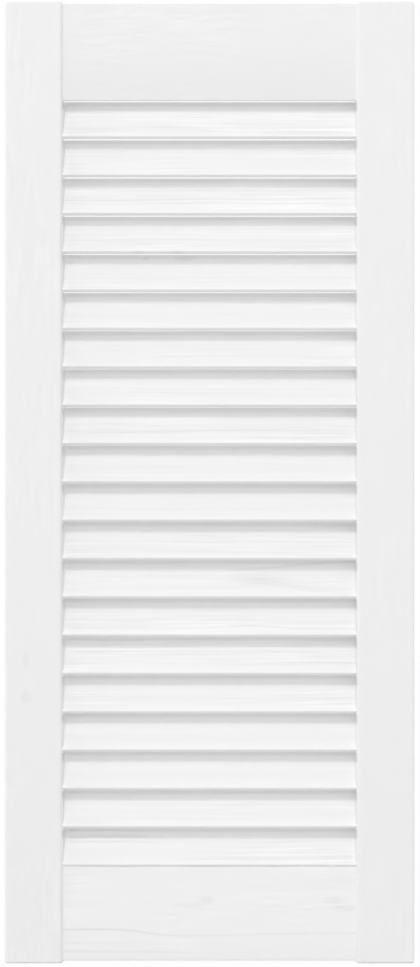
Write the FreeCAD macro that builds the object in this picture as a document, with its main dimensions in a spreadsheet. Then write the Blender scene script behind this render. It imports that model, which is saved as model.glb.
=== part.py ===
# Louvred cupboard door: two stiles, two rails and a stack of fixed sloping slats.
# Millimetres. +Z is up, +X is to the right seen from the front and the front faces -Y.
# The origin is the middle of the left stile's outer edge, where the hinges go.
import FreeCAD
import Part
import Sketcher

import math
import os

SIZES = {
    "door_width": 294.0,
    "door_height": 690.0,
    "door_thickness": 21.0,
    "stile_width": 42.0,
    "top_horn": 1.25,  # stile end standing past the top rail
    "bottom_horn": 2.0,  # stile end standing past the bottom rail
    "stile_outer_radius": 2.0,
    "stile_inner_chamfer": 2.0,
    "stile_end_chamfer": 1.3,
    "top_rail_height": 69.7,
    "bottom_rail_height": 66.9,
    "rail_setback": 2.0,  # rail face behind the stile face, front and back
    "rail_edge_chamfer": 0.5,
    "top_rail_bevel": 11.0,  # lower back edge cut away so that air passes over the upper slat
    "tenon_length": 20.0,
    "tenon_height": 44.0,
    "tenon_thickness": 8.0,
    "tenon_clearance": 0.1,  # all round the tenon
    "tenon_end_clearance": 0.5,
    "slat_count": 20,
    "slat_thickness": 4.1,
    "slat_edge_radius": 0.8,
    "slat_tilt": 32.0,  # degrees from upright, top edge leaning back
    "slat_setback": 0.97,  # slat edge behind the stile face, front and back
    "slat_tongue": 7.0,  # length of slat let into each stile
    "slot_clearance": 0.1,  # all round the slat
    "slot_end_clearance": 0.3,
    "bottom_slat_gap": 0.1,  # lower slat to bottom rail
}

# Expressions that several pieces share
OPENING_WIDTH = "(Sizes.door_width - 2 * Sizes.stile_width)"
OPENING_TOP = "(Sizes.door_height / 2 - Sizes.top_horn - Sizes.top_rail_height)"
OPENING_BOTTOM = "(Sizes.bottom_rail_height + Sizes.bottom_horn - Sizes.door_height / 2)"
TOP_RAIL_MIDDLE = f"({OPENING_TOP} + Sizes.top_rail_height / 2)"
BOTTOM_RAIL_MIDDLE = f"({OPENING_BOTTOM} - Sizes.bottom_rail_height / 2)"
# The slat section is drawn between the centres of its four rounded corners
SLAT_ROUND = "(2 * Sizes.slat_edge_radius)"
SLAT_ACROSS = f"(Sizes.slat_thickness - {SLAT_ROUND})"
SLAT_DEPTH = f"(Sizes.door_thickness - 2 * Sizes.slat_setback - {SLAT_ROUND})"
SLAT_SPAN = f"(({SLAT_DEPTH} - {SLAT_ACROSS} * cos(Sizes.slat_tilt)) / sin(Sizes.slat_tilt))"
SLAT_LEAN = f"({SLAT_SPAN} * cos(Sizes.slat_tilt) + {SLAT_ACROSS} * sin(Sizes.slat_tilt))"
SLAT_RISE = f"({SLAT_LEAN} + {SLAT_ROUND})"
# The stack fills the opening, the upper slat's top level with the top rail's lower edge
LOWEST_SLAT = f"({OPENING_BOTTOM} + Sizes.bottom_slat_gap + {SLAT_RISE} / 2)"
HIGHEST_SLAT = f"({OPENING_TOP} - {SLAT_RISE} / 2)"
SLAT_PITCH = f"(({HIGHEST_SLAT} - {LOWEST_SLAT}) / (Sizes.slat_count - 1))"

doc = FreeCAD.newDocument("LouvredDoor")


def make_sheet():
    sheet = doc.addObject("Spreadsheet::Sheet", "Sizes")
    for row, (alias, value) in enumerate(SIZES.items(), start=1):
        sheet.set(f"A{row}", alias)
        sheet.set(f"B{row}", str(value))
        sheet.setAlias(f"B{row}", alias)
    doc.recompute()


def origin_feature(body, role):
    for feature in body.Origin.OriginFeatures:
        if feature.Role == role:
            return feature
    raise ValueError(f"{body.Label} has no {role}")


def new_body(label):
    body = doc.addObject("PartDesign::Body", label)
    body.Label = label
    return body


def new_sketch(body, name):
    # Sketch across the door: its x is the door's Y and its y is the door's Z
    sketch = body.newObject("Sketcher::SketchObject", name)
    sketch.AttachmentSupport = (origin_feature(body, "YZ_Plane"), [""])
    sketch.MapMode = "FlatFace"
    return sketch


def name_constraint(sketch, constraint, name, expression):
    index = sketch.addConstraint(constraint)
    sketch.renameConstraint(index, name)
    sketch.setExpression(f"Constraints.{name}", expression)


def rectangle_sketch(body, name, depth, height):
    # Rectangle centred on the sketch origin
    sketch = new_sketch(body, name)
    corners = [(-5, -10), (5, -10), (5, 10), (-5, 10)]
    points = [FreeCAD.Vector(x, y, 0) for x, y in corners]
    for start, end in zip(points, points[1:] + points[:1]):
        sketch.addGeometry(Part.LineSegment(start, end))
    for side in range(4):
        sketch.addConstraint(Sketcher.Constraint("Coincident", side, 2, (side + 1) % 4, 1))
    for side in (0, 2):
        sketch.addConstraint(Sketcher.Constraint("Horizontal", side))
    for side in (1, 3):
        sketch.addConstraint(Sketcher.Constraint("Vertical", side))
    sketch.addConstraint(Sketcher.Constraint("Symmetric", 0, 1, 2, 1, -1, 1))
    name_constraint(sketch, Sketcher.Constraint("DistanceX", 0, 1, 0, 2, 10), "depth", depth)
    name_constraint(sketch, Sketcher.Constraint("DistanceY", 1, 1, 1, 2, 20), "height", height)
    return sketch


def slat_sketch(body, name, radius):
    # Slat section: a rectangle with rounded corners, centred and upright
    sketch = new_sketch(body, name)
    normal = FreeCAD.Vector(0, 0, 1)
    half_across, half_span, corner = 2, 10, 1
    for quarter, (x, y) in enumerate([(1, -1), (1, 1), (-1, 1), (-1, -1)]):
        centre = FreeCAD.Vector(x * half_across, y * half_span, 0)
        circle = Part.Circle(centre, normal, corner)
        start = (quarter - 1) * math.pi / 2
        sketch.addGeometry(Part.ArcOfCircle(circle, start, start + math.pi / 2))
    arcs = range(4)
    for arc in arcs:
        start = sketch.getPoint(arc, 2)
        end = sketch.getPoint((arc + 1) % 4, 1)
        sketch.addGeometry(Part.LineSegment(start, end))
    for arc in arcs:
        side = arc + 4
        sketch.addConstraint(Sketcher.Constraint("Tangent", arc, 2, side, 1))
        sketch.addConstraint(Sketcher.Constraint("Tangent", side, 2, (arc + 1) % 4, 1))
        sketch.addConstraint(Sketcher.Constraint("Vertical" if arc % 2 == 0 else "Horizontal", side))
    for arc in arcs[1:]:
        sketch.addConstraint(Sketcher.Constraint("Equal", 0, arc))
    sketch.addConstraint(Sketcher.Constraint("Symmetric", 0, 3, 2, 3, -1, 1))
    name_constraint(sketch, Sketcher.Constraint("Radius", 0, corner), "corner", radius)
    name_constraint(sketch, Sketcher.Constraint("DistanceX", 3, 3, 0, 3, 4), "across", SLAT_ACROSS)
    name_constraint(sketch, Sketcher.Constraint("DistanceY", 0, 3, 1, 3, 20), "span", SLAT_SPAN)
    return sketch


def add_pad(body, name, sketch, length, side="One side", reverse=False):
    pad = body.newObject("PartDesign::Pad", name)
    pad.Profile = sketch
    pad.SideType = side
    pad.Reversed = reverse
    pad.setExpression("Length", length)
    doc.recompute()
    return pad


def add_pocket(body, name, sketch, depth, reverse):
    pocket = body.newObject("PartDesign::Pocket", name)
    pocket.Profile = sketch
    pocket.Reversed = reverse
    pocket.setExpression("Length", depth)
    doc.recompute()
    return pocket


def pick_edges(base, chosen):
    # Names of the base feature's edges that the chosen test picks
    return [f"Edge{index}" for index, edge in enumerate(base.Shape.Edges, start=1) if chosen(edge)]


def add_fillet(body, name, base, radius, chosen):
    fillet = body.newObject("PartDesign::Fillet", name)
    fillet.Base = (base, pick_edges(base, chosen))
    fillet.setExpression("Radius", radius)
    doc.recompute()
    return fillet


def add_chamfer(body, name, base, size, chosen):
    chamfer = body.newObject("PartDesign::Chamfer", name)
    chamfer.Base = (base, pick_edges(base, chosen))
    chamfer.setExpression("Size", size)
    doc.recompute()
    return chamfer


def runs_along(axis):
    # Test for straight edges that follow X, Y or Z
    def chosen(edge):
        if edge.Curve.TypeId != "Part::GeomLine":
            return False
        return abs(edge.tangentAt(edge.FirstParameter)[axis]) > 0.99

    return chosen


def upright_on(inner_face):
    # Test for a stile's upright edges, on its inner face at x = 0 or on its outer face
    def chosen(edge):
        on_inner = abs(edge.CenterOfMass.x) < 0.01
        return runs_along(2)(edge) and on_inner == inner_face

    return chosen


def on_end_face(stile_shape):
    # Test for edges that lie on a stile's upper or lower end
    ends = (stile_shape.BoundBox.ZMin, stile_shape.BoundBox.ZMax)

    def chosen(edge):
        box = edge.BoundBox
        return box.ZLength < 0.01 and min(abs(box.ZMin - end) for end in ends) < 0.01

    return chosen


def make_stile(label, inner_face, to_right):
    # Upright standing on its inner face, with a mortise for each rail and a slot for each slat
    body = new_body(label)
    body.setExpression("Placement.Base.x", inner_face)
    section = rectangle_sketch(body, f"{label}_blank", "Sizes.door_thickness", "Sizes.door_height")
    blank = add_pad(body, f"{label}_pad", section, "Sizes.stile_width", reverse=not to_right)
    inner = add_chamfer(body, f"{label}_inner", blank, "Sizes.stile_inner_chamfer", upright_on(True))
    outer = add_fillet(body, f"{label}_outer", inner, "Sizes.stile_outer_radius", upright_on(False))
    add_chamfer(body, f"{label}_ends", outer, "Sizes.stile_end_chamfer", on_end_face(outer.Shape))

    for end, middle in (("top", TOP_RAIL_MIDDLE), ("bottom", BOTTOM_RAIL_MIDDLE)):
        mortise = rectangle_sketch(
            body,
            f"{label}_{end}_mortise",
            "Sizes.tenon_thickness + 2 * Sizes.tenon_clearance",
            "Sizes.tenon_height + 2 * Sizes.tenon_clearance",
        )
        mortise.setExpression("AttachmentOffset.Base.y", middle)
        depth = "Sizes.tenon_length + Sizes.tenon_end_clearance"
        add_pocket(body, f"{label}_{end}_mortise_cut", mortise, depth, to_right)

    slot = slat_sketch(body, f"{label}_slot", "Sizes.slat_edge_radius + Sizes.slot_clearance")
    slot.setExpression("AttachmentOffset.Base.y", LOWEST_SLAT)
    slot.setExpression("AttachmentOffset.Rotation.Angle", "-Sizes.slat_tilt")
    depth = "Sizes.slat_tongue + Sizes.slot_end_clearance"
    cut = add_pocket(body, f"{label}_slot_cut", slot, depth, to_right)
    row = body.newObject("PartDesign::LinearPattern", f"{label}_slot_row")
    row.Originals = [cut]
    row.Direction = (origin_feature(body, "Z_Axis"), [""])
    row.setExpression("Length", f"{HIGHEST_SLAT} - {LOWEST_SLAT}")
    row.setExpression("Occurrences", "Sizes.slat_count")
    body.Tip = row
    return body


def lower_back(edge):
    # Test for a rail's lower back edge
    return runs_along(0)(edge) and edge.CenterOfMass.y > 0 > edge.CenterOfMass.z


def make_rail(label, height, middle, bevel=None):
    # Cross member between the stiles, with a stub tenon at each end
    body = new_body(label)
    body.setExpression("Placement.Base.x", "Sizes.door_width / 2")
    body.setExpression("Placement.Base.z", middle)
    depth = "Sizes.door_thickness - 2 * Sizes.rail_setback"
    section = rectangle_sketch(body, f"{label}_section", depth, height)
    blank = add_pad(body, f"{label}_pad", section, OPENING_WIDTH, side="Symmetric")
    if bevel:
        blank = add_chamfer(body, f"{label}_bevel", blank, bevel, lower_back)
    add_chamfer(body, f"{label}_edges", blank, "Sizes.rail_edge_chamfer", runs_along(0))
    tongue = rectangle_sketch(body, f"{label}_tenon", "Sizes.tenon_thickness", "Sizes.tenon_height")
    length = f"{OPENING_WIDTH} + 2 * Sizes.tenon_length"
    body.Tip = add_pad(body, f"{label}_tenon_pad", tongue, length, side="Symmetric")
    return body


def make_slat(label, steps_up):
    # Sloping slat, with its ends let into both stiles
    body = new_body(label)
    body.Placement.Rotation = FreeCAD.Rotation(FreeCAD.Vector(1, 0, 0), -SIZES["slat_tilt"])
    body.setExpression("Placement.Base.x", "Sizes.door_width / 2")
    body.setExpression("Placement.Base.z", f"{LOWEST_SLAT} + {steps_up} * {SLAT_PITCH}")
    body.setExpression("Placement.Rotation.Angle", "-Sizes.slat_tilt")
    section = slat_sketch(body, f"{label}_section", "Sizes.slat_edge_radius")
    length = f"{OPENING_WIDTH} + 2 * Sizes.slat_tongue"
    body.Tip = add_pad(body, f"{label}_pad", section, length, side="Symmetric")
    return body


make_sheet()
bodies = [
    make_stile("left_stile", "Sizes.stile_width", to_right=False),
    make_stile("right_stile", "Sizes.door_width - Sizes.stile_width", to_right=True),
    make_rail("top_rail", "Sizes.top_rail_height", TOP_RAIL_MIDDLE, bevel="Sizes.top_rail_bevel"),
    make_rail("bottom_rail", "Sizes.bottom_rail_height", BOTTOM_RAIL_MIDDLE),
]
for number in range(1, SIZES["slat_count"] + 1):
    bodies.append(make_slat(f"slat_{number:02d}", SIZES["slat_count"] - number))
doc.recompute()

for item in doc.Objects:
    if "Invalid" in item.State or "Error" in item.State:
        raise RuntimeError(f"{item.Label} did not compute: {item.State}")
for body in bodies:
    if body.Shape.isNull() or not body.Shape.isValid() or len(body.Shape.Solids) != 1:
        raise RuntimeError(f"{body.Label} is not one valid solid")

os.makedirs("parts", exist_ok=True)
for body in bodies:
    body.Shape.exportStep(f"parts/{body.Label}.step")
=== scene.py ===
import math

import bpy
import numpy as np
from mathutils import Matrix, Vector


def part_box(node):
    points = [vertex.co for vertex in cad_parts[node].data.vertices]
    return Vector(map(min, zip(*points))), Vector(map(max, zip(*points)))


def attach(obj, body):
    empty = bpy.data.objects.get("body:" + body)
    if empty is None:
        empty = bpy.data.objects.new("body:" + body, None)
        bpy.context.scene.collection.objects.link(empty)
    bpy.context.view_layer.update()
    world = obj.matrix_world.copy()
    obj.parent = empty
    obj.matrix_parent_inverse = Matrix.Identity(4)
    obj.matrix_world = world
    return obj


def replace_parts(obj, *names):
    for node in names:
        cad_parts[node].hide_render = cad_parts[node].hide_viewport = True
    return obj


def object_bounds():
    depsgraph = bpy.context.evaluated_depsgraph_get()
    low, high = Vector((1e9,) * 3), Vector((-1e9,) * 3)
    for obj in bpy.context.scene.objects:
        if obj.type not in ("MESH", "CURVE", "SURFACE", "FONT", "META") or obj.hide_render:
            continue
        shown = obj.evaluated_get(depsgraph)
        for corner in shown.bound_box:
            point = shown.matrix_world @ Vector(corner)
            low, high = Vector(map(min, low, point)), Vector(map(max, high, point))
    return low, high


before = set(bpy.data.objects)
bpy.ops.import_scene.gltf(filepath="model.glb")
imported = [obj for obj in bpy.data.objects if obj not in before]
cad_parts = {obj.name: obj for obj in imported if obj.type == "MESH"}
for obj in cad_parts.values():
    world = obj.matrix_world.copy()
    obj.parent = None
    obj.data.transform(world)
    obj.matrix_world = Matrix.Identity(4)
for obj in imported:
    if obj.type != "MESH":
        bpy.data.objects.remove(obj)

cadLow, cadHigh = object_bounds()
scene = bpy.context.scene
scene.view_settings.view_transform = "Standard"
middle = (cadLow + cadHigh) / 2
print("frame loaded:", len(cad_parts), "nodes,", [round(v, 4) for v in cadHigh - cadLow])

# Where the frame meets the slats, which are numbered from the top
stileSide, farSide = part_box("left_stile")[1].x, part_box("right_stile")[0].x
railTop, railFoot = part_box("bottom_rail")[1].z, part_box("top_rail")[0].z
slatNodes = sorted(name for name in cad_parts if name.startswith("slat_"))
slatFoot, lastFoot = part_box("slat_01")[0].z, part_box("slat_20")[0].z
slatPitch = (slatFoot - lastFoot) / (len(slatNodes) - 1)


class Wire:
    # a node's output that takes part in plain sums, each sum adding a Math node
    def __init__(self, tree, socket=None):
        self.tree = tree
        self.socket = socket

    def node(self, kind, settings, sockets, output=0):
        made = self.tree.nodes.new(kind)
        for name, value in settings.items():
            setattr(made, name, value)
        for name, value in sockets.items():
            if isinstance(value, Wire):
                self.tree.links.new(value.socket, made.inputs[name])
            else:
                made.inputs[name].default_value = value
        return Wire(self.tree, made.outputs[output] if made.outputs else None)

    def sum(self, operation, first, second):
        return self.node("ShaderNodeMath", {"operation": operation}, {0: first, 1: second})

    def __add__(self, other):
        return self.sum("ADD", self, other)

    def __radd__(self, other):
        return self.sum("ADD", other, self)

    def __sub__(self, other):
        return self.sum("SUBTRACT", self, other)

    def __rsub__(self, other):
        return self.sum("SUBTRACT", other, self)

    def __mul__(self, other):
        return self.sum("MULTIPLY", self, other)

    def __rmul__(self, other):
        return self.sum("MULTIPLY", other, self)

    def __pow__(self, other):
        return self.sum("POWER", self, other)

    def atLeast(self, other):
        return self.sum("MAXIMUM", self, other)

    def fraction(self):
        return self.node("ShaderNodeMath", {"operation": "FRACT"}, {0: self})

    def smooth(self, low, high):
        # 0 at low, 1 at high, an S curve between
        sockets = {"Value": self, "From Min": low, "From Max": high, "To Min": 0.0, "To Max": 1.0}
        return self.node("ShaderNodeMapRange", {"interpolation_type": "SMOOTHSTEP"}, sockets)

    def part(self, axis):
        return self.node("ShaderNodeSeparateXYZ", {}, {"Vector": self}, axis)

    def noise(self, scale, detail, roughness):
        # runs from 0 to 1, and 0.5 is its middle
        sockets = {"Vector": self, "Scale": scale, "Detail": detail, "Roughness": roughness}
        return self.node("ShaderNodeTexNoise", {}, sockets)

    def blend(self, first, second):
        # the first colour where this is 0, the second where it is 1
        sockets = {0: self, 6: first, 7: second}
        return self.node("ShaderNodeMix", {"data_type": "RGBA", "clamp_factor": True}, sockets, 2)


def startMaterial(name):
    material = bpy.data.materials.new(name)
    material.use_nodes = True
    material.node_tree.nodes.clear()
    return material, Wire(material.node_tree)


def addObject(name, data):
    added = bpy.data.objects.new(name, data)
    scene.collection.objects.link(added)
    return added


# What the paint of every board shares
paintCoat = {
    "dark": (0.80, 0.80, 0.80), "light": (0.96, 0.96, 0.96),  # colour at tone 0 and at tone 1
    "rough": 0.46, "brushShine": 0.08, "streakShine": 0.12, "ior": 1.48,
    "lift": 1.0, "stipple": 0.15, "depth": 0.00006,  # relief of streaks and of brush, and the depth of both
    "thinScale": 2.7, "thinShare": 0.5,  # thin streaks against broad ones
    "patchScale": 16.0, "brushScale": 700.0,
    "showsFrom": (0.42, 0.66), "showsLeast": 0.2,  # how plainly the streaks show, by patches
    "markEdge": (0.3, 1.0), "markRagged": 1.6,
}


# Painted pine: a satin white coat with the long grain lines of the board telegraphing through.
# tone = paint + streaks along the grain + slow patches + raised grain and painted light and shade - a painted
# fall of shade down the board
# + single marks - open grain lines
def paintedPine(name, look):
    material, pen = startMaterial(name)
    place = pen.node("ShaderNodeTexCoord", {}, {}, "Object")
    lay = {"Vector": place, "Location": look["shift"], "Scale": look["stretch"]}
    along = pen.node("ShaderNodeMapping", {}, lay)
    broad, thin = along.noise(1.0, 2.0, 0.5), along.noise(look["thinScale"], 2.0, 0.6)
    patch, brush = place.noise(look["patchScale"], 1.0, 0.5), place.noise(look["brushScale"], 1.0, 0.5)
    shows = patch.smooth(*look["showsFrom"]) * (1 - look["showsLeast"]) + look["showsLeast"]
    streak = ((broad - 0.5) + (thin - 0.5) * look["thinShare"]) * shows
    tone = look["tone"] + streak * look["streak"] + (patch - 0.5) * look["patch"]
    relief = streak * look["lift"] + (brush - 0.5) * look["stipple"]
    if "ridges" in look:
        ridge = pen.node("ShaderNodeAttribute", {"attribute_name": "ridge"}, {}, "Fac")
        # painted light and shade that each slat carries as a point attribute
        paintedShading = pen.node("ShaderNodeAttribute", {"attribute_name": "paintedShading"}, {}, "Fac")
        tone = tone + ridge * look["ridges"] + paintedShading
    # painted shade down the board: darker below the fall's span, and painted light where the fall is negative
    tone = tone - (1 - place.part("Z").smooth(*look["shadeFallFrom"])) * look["shadeFall"]
    for x, z, wide, tall, weight in look.get("marks", ()):
        tone = tone + boardMark(place, broad, look, x, z, wide, tall) * weight
    for line in look.get("lines", ()):
        shade = openGrain(place, broad, line)
        tone = tone - shade * line["dark"]
        relief = relief - shade * line["deep"]
    colour = tone.blend((*look["dark"], 1.0), (*look["light"], 1.0))
    # painted shade: a dark colour laid on the stile's inner arris under each slat's foot, where its shadow
    # falls
    if "creviceShade" in look:
        creviceShade = look["creviceShade"]
        colour = paintedCreviceShade(place, creviceShade).blend(colour, (*creviceShade["colour"], 1.0))
    shine = look["rough"] + (brush - 0.5) * look["brushShine"] - streak * look["streakShine"]
    bump = {"Strength": 1.0, "Distance": look["depth"], "Height": relief}
    normal = pen.node("ShaderNodeBump", {}, bump, "Normal")
    coat = {"Base Color": colour, "Roughness": shine, "Normal": normal, "IOR": look["ior"]}
    paint = pen.node("ShaderNodeBsdfPrincipled", {}, coat)
    pen.node("ShaderNodeOutputMaterial", {}, {"Surface": paint})
    return material


# A single mark on a board.
# shade = 1 in the middle of an oval, 0 outside it, with an edge that the grain makes ragged
def boardMark(place, grain, look, x, z, wide, tall):
    oval = {"Vector": place, "Location": (-x / wide, 0.0, -z / tall), "Scale": (1 / wide, 0.0, 1 / tall)}
    spot = place.node("ShaderNodeMapping", {}, oval)
    spread = place.node("ShaderNodeVectorMath", {"operation": "LENGTH"}, {0: spot}, "Value")
    return 1 - (spread + (grain - 0.5) * look["markRagged"]).smooth(*look["markEdge"])


# One open grain line across a board: it starts, steps down, drifts up again and turns paler to the right,
# each over its own stretch of x.
# shade = 1 on the line's level, 0 a line's width away
def openGrain(place, grain, line):
    x, z = place.part("X"), place.part("Z")
    stepped = line["level"] - x.smooth(*line["downFrom"]) * line["down"]
    level = stepped + x.smooth(*line["upFrom"]) * line["up"]
    away = z - level + (grain - 0.5) * line["wander"]
    core = line["width"] * 0.2  # as dark as the line gets
    shade = 1 - away.atLeast(0 - away).smooth(core, line["width"])
    return shade * x.smooth(*line["startFrom"]) * (1 - x.smooth(*line["paleFrom"]) * line["pale"])


# Painted shade on a stile's inner arris beside the gaps, a dark colour where each slat's shadow falls: it
# comes in under each slat's foot and thins out downwards.
# shade = on the arris, times near the front, times under a foot, times between the rails,
# with the distance under a foot starting again at every slat
def paintedCreviceShade(place, creviceShade):
    x, y, z = (place.part(axis) for axis in "XYZ")
    under = ((slatFoot - z) * (1 / slatPitch)).fraction() * slatPitch
    shade = x.smooth(*creviceShade["arris"]) * (1 - y.smooth(*creviceShade["backFrom"])) * creviceShade["weight"]
    shade = shade * under.smooth(*creviceShade["underFrom"]) * (1 - under.smooth(*creviceShade["goneFrom"]))
    return shade * z.smooth(*creviceShade["lowEnd"]) * (1 - z.smooth(*creviceShade["highEnd"]))


# Stiles and rails keep their solid shapes and take the paint in their own slots.
# A mark is its middle's x and z, its half width and half height, and the tone that it adds
stilePaint = dict(
    paintCoat, tone=0.51, shift=(0.013, 0.0, 0.31), stretch=(260.0, 260.0, 45.0), streak=0.6, patch=0.05,
    # painted shade: the stiles darker towards their feet
    shadeFall=0.03, shadeFallFrom=(-0.30, -0.16),
    marks=[
        (0.0034, 0.318, 0.0011, 0.017, 0.22),  # brushed streaks near the top
        (0.0068, 0.312, 0.0008, 0.013, 0.16),
        (0.0102, 0.322, 0.0016, 0.012, 0.12),
        (stileSide - 0.0011, 0.0, 0.0010, 0.4, -0.45),  # painted shade down the inner arris
        (0.0200, cadLow.z + 0.0003, 0.2, 0.0016, 0.9),  # painted light on the foot's chamfer, lifting the shade where it meets the floor
        (0.0153, -0.1280, 0.0030, 0.0080, -0.22),  # two covered pin knots
        (0.0160, -0.1538, 0.0065, 0.0060, -0.22),
    ],
    # painted shade in the gaps: a dark colour on the inner arris under each slat's foot
    creviceShade={
        "colour": (0.55, 0.55, 0.55), "weight": 0.6,
        "arris": (stileSide - 0.0014, stileSide - 0.0006), "backFrom": (-0.004, 0.004),  # x, and y
        "underFrom": (0.0, 0.0014), "goneFrom": (0.003, 0.0095),  # distance under a slat's foot
        "lowEnd": (railTop - 0.0002, railTop + 0.0005), "highEnd": (railFoot - 0.0005, railFoot),
    },
)
rightStilePaint = dict(
    stilePaint, shift=(0.4, 0.0, 0.9), stretch=(190.0, 190.0, 30.0), streak=0.34,
    marks=[
        (farSide - 0.0001, 0.0, 0.0012, 0.4, -0.6),  # painted shade down the inner arris
        (0.2740, cadLow.z + 0.0003, 0.2, 0.0016, 0.8),  # painted light on the foot's chamfer, lifting the shade where it meets the floor
    ],
    creviceShade=dict(stilePaint["creviceShade"], arris=(farSide + 0.0014, farSide + 0.0006), goneFrom=(0.006, 0.009)),
)
topRailPaint = dict(
    paintCoat, tone=0.5, shift=(0.2, 0.0, 0.007), stretch=(44.0, 420.0, 420.0), streak=0.8, patch=0.05,
    # painted shade: the top rail darker towards its lower edge over the gaps
    shadeFall=0.26, shadeFallFrom=(0.270, 0.330),
)
bottomRailPaint = dict(
    paintCoat, tone=0.68, shift=(0.7, 0.0, 0.004), stretch=(28.0, 420.0, 420.0), streak=0.75, patch=0.05,
    # painted shade: the bottom rail darker towards its foot
    shadeFall=0.08, shadeFallFrom=(-0.345, -0.31),
    marks=[  # two faint knots, each with a tail
        (0.2375, -0.3007, 0.0140, 0.0054, -0.34), (0.2450, -0.3047, 0.0100, 0.0036, -0.3),
        (0.1450, -0.2997, 0.0075, 0.0044, -0.26), (0.1335, -0.3036, 0.0150, 0.0028, -0.2),
    ],
    lines=[  # the open grain lines under them
        {"level": -0.3208, "downFrom": (0.074, 0.124), "down": 0.0044, "upFrom": (0.13, 0.25), "up": 0.0019,
         "wander": 0.0011, "width": 0.0012, "dark": 0.72, "deep": 1.6, "startFrom": (0.0, 0.02),
         "paleFrom": (0.05, 0.14), "pale": 0.6},
        {"level": -0.3305, "downFrom": (0.06, 0.16), "down": 0.0012, "upFrom": (0.16, 0.25), "up": 0.0006,
         "wander": 0.0016, "width": 0.0010, "dark": 0.26, "deep": 0.8, "startFrom": (0.0, 0.02),
         "paleFrom": (0.04, 0.17), "pale": 0.9},
        {"level": -0.3366, "downFrom": (0.05, 0.16), "down": 0.0010, "upFrom": (0.16, 0.25), "up": 0.0004,
         "wander": 0.0014, "width": 0.0011, "dark": 0.34, "deep": 0.8, "startFrom": (0.0, 0.02),
         "paleFrom": (0.08, 0.20), "pale": 0.8},
    ],
)
framePaint = {
    "left_stile": paintedPine("leftStilePaint", stilePaint),
    "right_stile": paintedPine("rightStilePaint", rightStilePaint),
    "top_rail": paintedPine("topRailPaint", topRailPaint),
    "bottom_rail": paintedPine("bottomRailPaint", bottomRailPaint),
}
for name, paint in framePaint.items():
    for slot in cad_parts[name].material_slots:
        slot.material = paint
print("stiles and rails painted:", sorted(framePaint))


# 0 at start, 1 at end, straight between
def rise(start, end, place):
    return np.clip((place - start) / (end - start), 0, 1)


def ease(share):
    return share * share * (3 - 2 * share)


# 0 at start, 1 at end, an S curve between
def ramp(start, end, place):
    return ease(rise(start, end, place))


# A closed tube through rings of points: a quad between neighbours on two rings, and one face over each end
def closedTube(name, rings, paint, smooth):
    count, around = rings.shape[:2]
    row, column = np.meshgrid(np.arange(count - 1), np.arange(around), indexing="ij")
    here, beside = row * around + column, row * around + (column + 1) % around
    faces = np.stack([here, here + around, beside + around, beside], 2).reshape(-1, 4).tolist()
    firstEnd = np.arange(around)
    faces += [firstEnd.tolist(), (firstEnd[::-1] + (count - 1) * around).tolist()]
    mesh = bpy.data.meshes.new(name)
    mesh.from_pydata(rings.reshape(-1, 3).tolist(), [], faces)
    if smooth:
        mesh.polygons.foreach_set("use_smooth", np.arange(len(faces)) < len(faces) - 2)
    mesh.materials.append(paint)
    return mesh


# Random field drawn out along the board: each line has its own run of heights, set off from its neighbours',
# blended by an S curve along the line and from line to line
def grainField(along, across, run, spacing, chance):
    line = (across - across.min()) / spacing
    first = np.floor(line).astype(int)
    reach = (along - along.min()) / run
    heights = chance.normal(size=(first.max() + 2, int(reach.max()) + 3))
    offset = chance.uniform(size=first.max() + 2)

    def onLine(which):
        place = reach + offset[which]
        cell = np.floor(place).astype(int)
        share = ease(place - cell)
        return heights[which, cell] * (1 - share) + heights[which, cell + 1] * share

    share = ease(line - first)
    return onLine(first) * (1 - share) + onLine(first + 1) * share


slatGrain = {
    "lineSpacing": 0.00095,
    "longRun": 0.2, "longShare": 0.56,  # length over which a line comes and goes, and its part in the sum
    "shortRun": 0.030, "shortShare": 0.44,
    "heart": 0.6, "bow": 0.003,  # how far off the middle the bow may lie, in lengths, and its height
    "sways": ((1.3, 0.0004), (3.1, 0.00015)),  # waves in a length, and their height
    "swayTurn": 90.0,  # radians by which a wave runs ahead for each metre across
    "showsRun": 0.05, "showsSpacing": 0.011,  # size of the plain and the grained places
    "showsMiddle": 0.55, "showsSwing": 0.45,
}


# Raised grain of a flat sawn board: long and short lines, bowed and swaying a little, plain in places.
# ridge = (long lines + short lines) where the grain shows, held between -1 and 1
def raisedGrain(along, across, length, grain, seed):
    chance = np.random.default_rng(seed)
    heart, bow = chance.uniform(-grain["heart"], grain["heart"]), chance.uniform(-grain["bow"], grain["bow"])
    bowed = across + bow * (along / length - heart) ** 2
    for waves, height in grain["sways"]:
        turn = 2 * np.pi * (waves * along / length + chance.uniform()) + across * grain["swayTurn"]
        bowed = bowed + height * np.sin(turn)
    longLines = grainField(along, bowed, grain["longRun"], grain["lineSpacing"], chance)
    shortLines = grainField(along, bowed, grain["shortRun"], grain["lineSpacing"], chance)
    places = grainField(along, across, grain["showsRun"], grain["showsSpacing"], chance)
    shows = ease(np.clip(grain["showsMiddle"] + grain["showsSwing"] * places, 0, 1))
    return np.clip((grain["longShare"] * longLines + grain["shortShare"] * shortLines) * shows, -1, 1)


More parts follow.
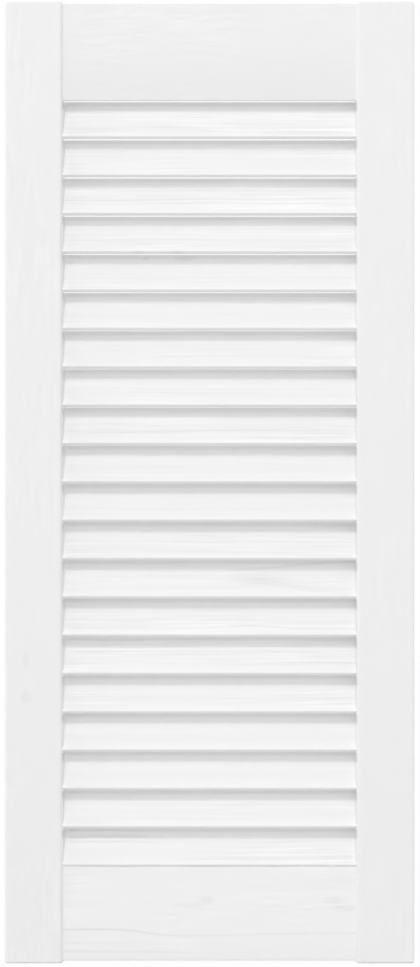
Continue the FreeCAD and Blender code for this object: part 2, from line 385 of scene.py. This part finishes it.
# Painted light and shade on a slat, as tone: lighter on the lower edge, the upper part, a band in the gap and
# the ends, darker highest in the gap and under the lower edge. A pair gives where it starts and where it is
# full:
# Up is a height up the face, and Along a distance from the stile, or x for the toe
slatPaintedShading = {
    "toe": 0.24, "toeUp": (0.010, 0.0), "toeAlong": (0.045, 0.1),  # on the lower edge
    "head": 0.15, "headUp": (0.010, 0.018), "headEnds": 1.2, "headAlong": (0.030, 0.0),  # upper part
    "first": 0.26,  # more on the first slat's upper part
    "gap": 0.2, "gapUp": (0.0218, 0.0242), "gapOff": (0.0255, 0.0272),  # band in the gap
    "inner": -0.22, "innerUp": (0.0262, 0.0278),  # highest in the gap, and more so at the left
    "innerLeft": 1.6, "innerAlong": (0.018, 0.004),
    "left": 0.35, "right": 0.15, "endAlong": (0.005, 0.0005),  # at the ends
    "under": -0.3,  # at the back of the lower edge
}


# painted shading = (toe + head + gap + inner + both ends) on the front + under, all painted light and shade
def paintedShadingTone(number, along, climb, section, halfThick, paintedShading):
    fromLeft, fromRight = along - stileSide, farSide - along
    toe = paintedShading["toe"] * ramp(*paintedShading["toeUp"], climb) * ramp(*paintedShading["toeAlong"], along)
    more = 1 + paintedShading["headEnds"] * ramp(*paintedShading["headAlong"], np.minimum(fromLeft, fromRight))
    head = paintedShading["head"] * more + (paintedShading["first"] if number == 1 else 0.0)
    head = head * ramp(*paintedShading["headUp"], climb)
    gap = paintedShading["gap"] * ramp(*paintedShading["gapUp"], climb) * (1 - ramp(*paintedShading["gapOff"], climb))
    inner = paintedShading["inner"] * (1 + paintedShading["innerLeft"] * ramp(*paintedShading["innerAlong"], fromLeft))
    inner = inner * ramp(*paintedShading["innerUp"], climb)
    leftEnd = paintedShading["left"] * ramp(*paintedShading["endAlong"], fromLeft)
    rightEnd = paintedShading["right"] * ramp(*paintedShading["endAlong"], fromRight)
    out, upNormal = section[:, 1], section[:, 2]
    front = ramp(0.0, halfThick, out)
    under = ramp(0.0, -halfThick, out) * np.clip(-upNormal, 0, 1)
    return (toe + head + gap + inner + leftEnd + rightEnd) * front + paintedShading["under"] * under


slatBoards = {
    "tilt": 32.0,  # degrees from upright, top edge leaning back
    "thickness": 0.0041,
    "corner": 0.0008,  # rounding of the four long edges
    "stations": 84,  # grid steps along the slat
    "faceSteps": 112,  # grid steps up the front face
    "backSteps": 32,
    "cornerSteps": 6,
    "edgeSteps": 4,
    "relief": 0.00003,  # height of the raised grain
    "faceFrom": (0.7, 1.0),  # the grain keeps to the faces: how squarely a point looks out
    "edgeFree": 0.002,  # and it fades towards their long edges
    "endFree": (0.007, 0.009),  # and in the slots at the ends
    "grain": (  # how plainly each slat shows its grain, from the top down
        0.93, 0.47, 0.88, 0.53, 0.36, 0.44, 0.54, 0.32, 0.8, 0.22,
        0.2, 0.62, 0.42, 0.85, 0.92, 0.66, 0.1, 0.1, 0.32, 0.7,
    ),
}
slatPaint = dict(
    paintCoat, tone=0.43, shift=(0.1, 0.0, 0.002), stretch=(24.0, 520.0, 520.0), streak=0.12, patch=0.02,
    lift=0.8, depth=0.00005, rough=0.44, ridges=0.6,
    shadeFall=-0.07, shadeFallFrom=(-0.28, 0.05),  # painted light: the lower slats are a little whiter
    marks=[
        (0.0957, 0.1650, 0.0060, 0.0014, -0.5),  # two rubbed places in the gap over the fifth slat
        (0.1012, 0.1608, 0.0036, 0.0024, -0.4),
        (0.1240, 0.1650, 0.0080, 0.0014, -0.5),
        (0.1285, 0.1608, 0.0090, 0.0024, -0.4),
        (middle.x, railTop + 0.0004, 1.0, 0.0011, -0.3),  # painted shade in the joint under the lowest slat
        (0.1850, -0.0694, 0.0280, 0.0068, -0.28),  # two grey places on the thirteenth slat
        (0.2440, -0.0663, 0.0120, 0.0045, -0.16),
    ],
    lines=[  # single grain lines of the ninth, thirteenth and fourteenth slats
        {"level": 0.0357, "downFrom": (0.06, 0.14), "down": -0.0018, "upFrom": (0.185, 0.215), "up": 0.0028,
         "wander": 0.0004, "width": 0.0008, "dark": 0.45, "deep": 1.0, "startFrom": (0.045, 0.08),
         "paleFrom": (0.1, 0.25), "pale": 0.3},
        {"level": -0.0628, "downFrom": (0.1, 0.2), "down": 0.0, "upFrom": (0.162, 0.248), "up": 0.0057,
         "wander": 0.0006, "width": 0.0012, "dark": 0.4, "deep": 0.5, "startFrom": (0.155, 0.175),
         "paleFrom": (0.22, 0.25), "pale": 0.2},
        {"level": -0.0699, "downFrom": (0.165, 0.25), "down": 0.0093, "upFrom": (0.1, 0.2), "up": 0.0,
         "wander": 0.0012, "width": 0.0030, "dark": 0.28, "deep": 0.5, "startFrom": (0.156, 0.185),
         "paleFrom": (0.21, 0.25), "pale": 0.4},
        {"level": -0.1027, "downFrom": (0.18, 0.215), "down": 0.0024, "upFrom": (0.1, 0.2), "up": 0.0,
         "wander": 0.0004, "width": 0.0009, "dark": 0.5, "deep": 0.8, "startFrom": (0.154, 0.168),
         "paleFrom": (0.182, 0.2), "pale": 0.5},
    ],
)


# Section of a slat: a rectangle with its corners rounded, walked from the foot of the front face upwards.
# Gives the place up the slat, the place towards the front, and the outward normal along both
def slatSection(halfWidth, halfThick, board):
    corner = board["corner"]
    up, out = halfWidth - corner, halfThick - corner
    turn = np.linspace(0, np.pi / 2, board["cornerSteps"] + 1)
    start = np.array((-up, halfThick))
    walk = []
    for quarter, (cornerUp, cornerOut, steps) in enumerate((
        (up, out, board["faceSteps"]), (up, -out, board["edgeSteps"]),
        (-up, -out, board["backSteps"]), (-up, out, board["edgeSteps"]),
    )):
        sine, cosine = np.sin(turn + quarter * np.pi / 2), np.cos(turn + quarter * np.pi / 2)
        arc = np.stack([cornerUp + corner * sine, cornerOut + corner * cosine, sine, cosine], 1)
        share = np.linspace(0, 1, steps + 1)[1:-1, None]
        flat = start + (arc[0, :2] - start) * share
        walk += [np.hstack([flat, np.repeat(arc[:1, 2:], len(flat), 0)]), arc]
        start = arc[-1, :2]
    return np.concatenate(walk)


# A slat: its section carried along a straight path in X, each point moved out along its normal by the grain
def buildSlat(number, node, board, paint):
    low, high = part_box(node)
    middleX, middleY, middleZ = ((near + far) / 2 for near, far in zip(low, high))
    tilt = math.radians(board["tilt"])
    halfThick, corner = board["thickness"] / 2, board["corner"]
    flatRise = high.z - low.z - 2 * corner - 2 * (halfThick - corner) * math.sin(tilt)
    halfWidth = flatRise / math.cos(tilt) / 2 + corner
    section = slatSection(halfWidth, halfThick, board)
    up, out, upNormal, outNormal = section.T
    x = np.linspace(low.x, high.x, board["stations"] + 1)
    along, across = np.meshgrid(x, up, indexing="ij")
    squarely = rise(*board["faceFrom"], np.abs(outNormal))
    onFace = squarely * rise(0.0, board["edgeFree"], halfWidth - np.abs(up))
    grained = onFace * rise(*board["endFree"], np.minimum(x - low.x, high.x - x))[:, None]
    side = np.where(outNormal < 0, 2 * halfWidth, 0.0)  # the back has its own grain
    ridge = raisedGrain(along - middleX, across + side, high.x - low.x, slatGrain, number)
    ridge = ridge * board["grain"][number - 1] * grained
    lift = board["relief"] * (ridge - grained)
    upward, forward = up + lift * upNormal, out + lift * outNormal
    y = middleY + upward * math.sin(tilt) - forward * math.cos(tilt)
    z = middleZ + upward * math.cos(tilt) + forward * math.sin(tilt)
    mesh = closedTube(f"{node}_board", np.stack([along, y, z], 2), paint, True)
    # painted light and shade on the slat, kept as a point attribute
    paintedShading = paintedShadingTone(number, along, across + halfWidth, section, halfThick, slatPaintedShading)
    for name, values in (("ridge", ridge), ("paintedShading", paintedShading)):
        numbers = mesh.attributes.new(name, "FLOAT", "POINT")
        numbers.data.foreach_set("value", values.astype(np.float32).ravel())
    slat = addObject(f"{node}_board", mesh)
    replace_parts(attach(slat, "root"), node)
    return slat


slatFinish = paintedPine("slatPaint", slatPaint)
slats = [buildSlat(number, node, slatBoards, slatFinish) for number, node in enumerate(slatNodes, 1)]
print("slats built:", len(slats), "with", sum(len(s.data.polygons) for s in slats), "faces")

jointPaint = {
    "foot": (-0.00805, -0.00004), "head": (-0.00862, 0.00124),  # y, and height over the rail's top
    "hollow": 0.00052, "wander": 0.00016, "wanderMost": 1.5, "run": 0.012, "seed": 5,
    "back": 0.0012, "stations": 120, "steps": 8,
}


# Paint lying in the joint under the lowest slat, so that it shows as a fine line.
# A hollow front between the rail's top and the slat's edge, of a depth that wanders along the joint
def buildJointPaint(joint, paint):
    x = np.linspace(stileSide, farSide, joint["stations"] + 1)[:, None]
    share = np.linspace(0, 1, joint["steps"] + 1)
    wander = grainField(x, np.zeros_like(x), joint["run"], 1.0, np.random.default_rng(joint["seed"]))
    depth = joint["hollow"] + joint["wander"] * np.clip(wander, -joint["wanderMost"], joint["wanderMost"])
    (footY, footZ), (headY, headZ) = joint["foot"], joint["head"]
    frontY = footY + (headY - footY) * share + depth * np.sin(np.pi * share)
    backY = np.tile((headY + joint["back"], footY + joint["back"]), (len(x), 1))
    y = np.hstack([frontY, backY])
    z = np.concatenate([footZ + (headZ - footZ) * share, ((headZ + footZ) / 2, footZ)]) + railTop
    rings = np.stack(np.broadcast_arrays(x, y, z), 2)
    bead = addObject("joint_paint", closedTube("joint_paint", rings, paint, False))
    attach(bead, "root")
    return bead


bead = buildJointPaint(jointPaint, slatFinish)
print("joint filled:", len(bead.data.polygons), "faces")


# 1 where the camera, a shiny or a clear surface looks at the background, which is then plain white
def backgroundSeen(pen):
    looks = ("Is Camera Ray", "Is Glossy Ray", "Is Transmission Ray")
    camera, glossy, clear = (pen.node("ShaderNodeLightPath", {}, {}, look) for look in looks)
    return camera + glossy + clear


white = (1.0, 1.0, 1.0, 1.0)
floorLook = {"halfSize": 6.0, "colour": (0.76, 0.76, 0.76), "white": 0.96}  # white: its part in what is seen
square = np.array([(-1, -1, 0), (1, -1, 0), (1, 1, 0), (-1, 1, 0)]) * floorLook["halfSize"]
corners = square + (middle.x, middle.y, cadLow.z)
floorMesh = bpy.data.meshes.new("floor")
floorMesh.from_pydata(corners.tolist(), [], [(0, 1, 2, 3)])
floor = addObject("floor", floorMesh)
floorPaper, pen = startMaterial("floorPaper")
paper = pen.node("ShaderNodeBsdfDiffuse", {}, {"Color": (*floorLook["colour"], 1.0)})
glare = pen.node("ShaderNodeEmission", {}, {"Color": white, "Strength": 1.0})
shown = pen.node("ShaderNodeMixShader", {}, {0: backgroundSeen(pen) * floorLook["white"], 1: paper, 2: glare})
pen.node("ShaderNodeOutputMaterial", {}, {"Surface": shown})
floorMesh.materials.append(floorPaper)

# Studio: soft glows round the door and one large lamp high in front, a little to the left.
# A glow is its strength times the cosine from its direction (x right, y back, z up) raised to its tightness
studioLight = {
    "even": 0.283,
    "glows": [
        (1.452, (-1.0, 0.0, 0.0), 3), (0.315, (1.0, 0.0, 0.0), 3), (0.322, (0.0, 0.0, 1.0), 3),
        (0.299, (0.0, -1.0, 0.0), 3), (0.852, (0.0, -0.866, 0.5), 6),
        (0.825, (-0.819, 0.574, 0.0), 8), (3.069, (0.819, 0.574, 0.0), 8),
    ],
    "lampLight": 0.546, "lampUp": 38.0, "lampLeft": 7.0, "lampAway": 6.5, "lampSize": 1.0,
}
world = bpy.data.worlds.new("studio")
scene.world = world
world.use_nodes = True
world.node_tree.nodes.clear()
pen = Wire(world.node_tree)
outward = pen.node("ShaderNodeTexCoord", {}, {}, "Generated")
glow = studioLight["even"]
for strength, direction, tightness in studioLight["glows"]:
    dot = {0: outward, 1: direction}
    toward = pen.node("ShaderNodeVectorMath", {"operation": "DOT_PRODUCT"}, dot, "Value")
    glow = glow + toward.atLeast(0) ** tightness * strength
fill = pen.node("ShaderNodeBackground", {}, {"Color": white, "Strength": glow})
plain = pen.node("ShaderNodeBackground", {}, {"Color": white, "Strength": 1.0})
shown = pen.node("ShaderNodeMixShader", {}, {0: backgroundSeen(pen), 1: fill, 2: plain})
pen.node("ShaderNodeOutputWorld", {}, {"Surface": shown})

lampData = bpy.data.lights.new("highLeftLamp", "AREA")
lampData.shape = "DISK"
lampData.size = studioLight["lampSize"]
lampData.energy = studioLight["lampLight"] * math.pi * studioLight["lampAway"] ** 2
lamp = addObject("highLeftLamp", lampData)
up, aside = math.radians(studioLight["lampUp"]), math.radians(studioLight["lampLeft"])
toLamp = Vector((-math.sin(aside) * math.cos(up), -math.cos(aside) * math.cos(up), math.sin(up)))
lamp.location = Vector((middle.x, 0.0, 0.0)) + toLamp * studioLight["lampAway"]
lamp.rotation_euler = toLamp.to_track_quat("Z", "Y").to_euler()
print("studio lit")

# Camera square to the front, far enough back for the slight opening of the upper gaps
cameraView = {"away": 3.7, "perPixel": 0.0007173, "aside": 0.0003, "up": -0.0007, "imageHeight": 967}
lens = bpy.data.cameras.new("frontCamera")
lens.sensor_width = 36.0
lens.lens = lens.sensor_width * cameraView["away"] / (cameraView["imageHeight"] * cameraView["perPixel"])
lens.clip_start, lens.clip_end = 0.1, 50.0
camera = addObject("frontCamera", lens)
cameraX, cameraZ = middle.x + cameraView["aside"], middle.z + cameraView["up"]
camera.location = (cameraX, cadLow.y - cameraView["away"], cameraZ)
camera.rotation_euler = (math.pi / 2, 0.0, 0.0)
scene.camera = camera
print("camera set")
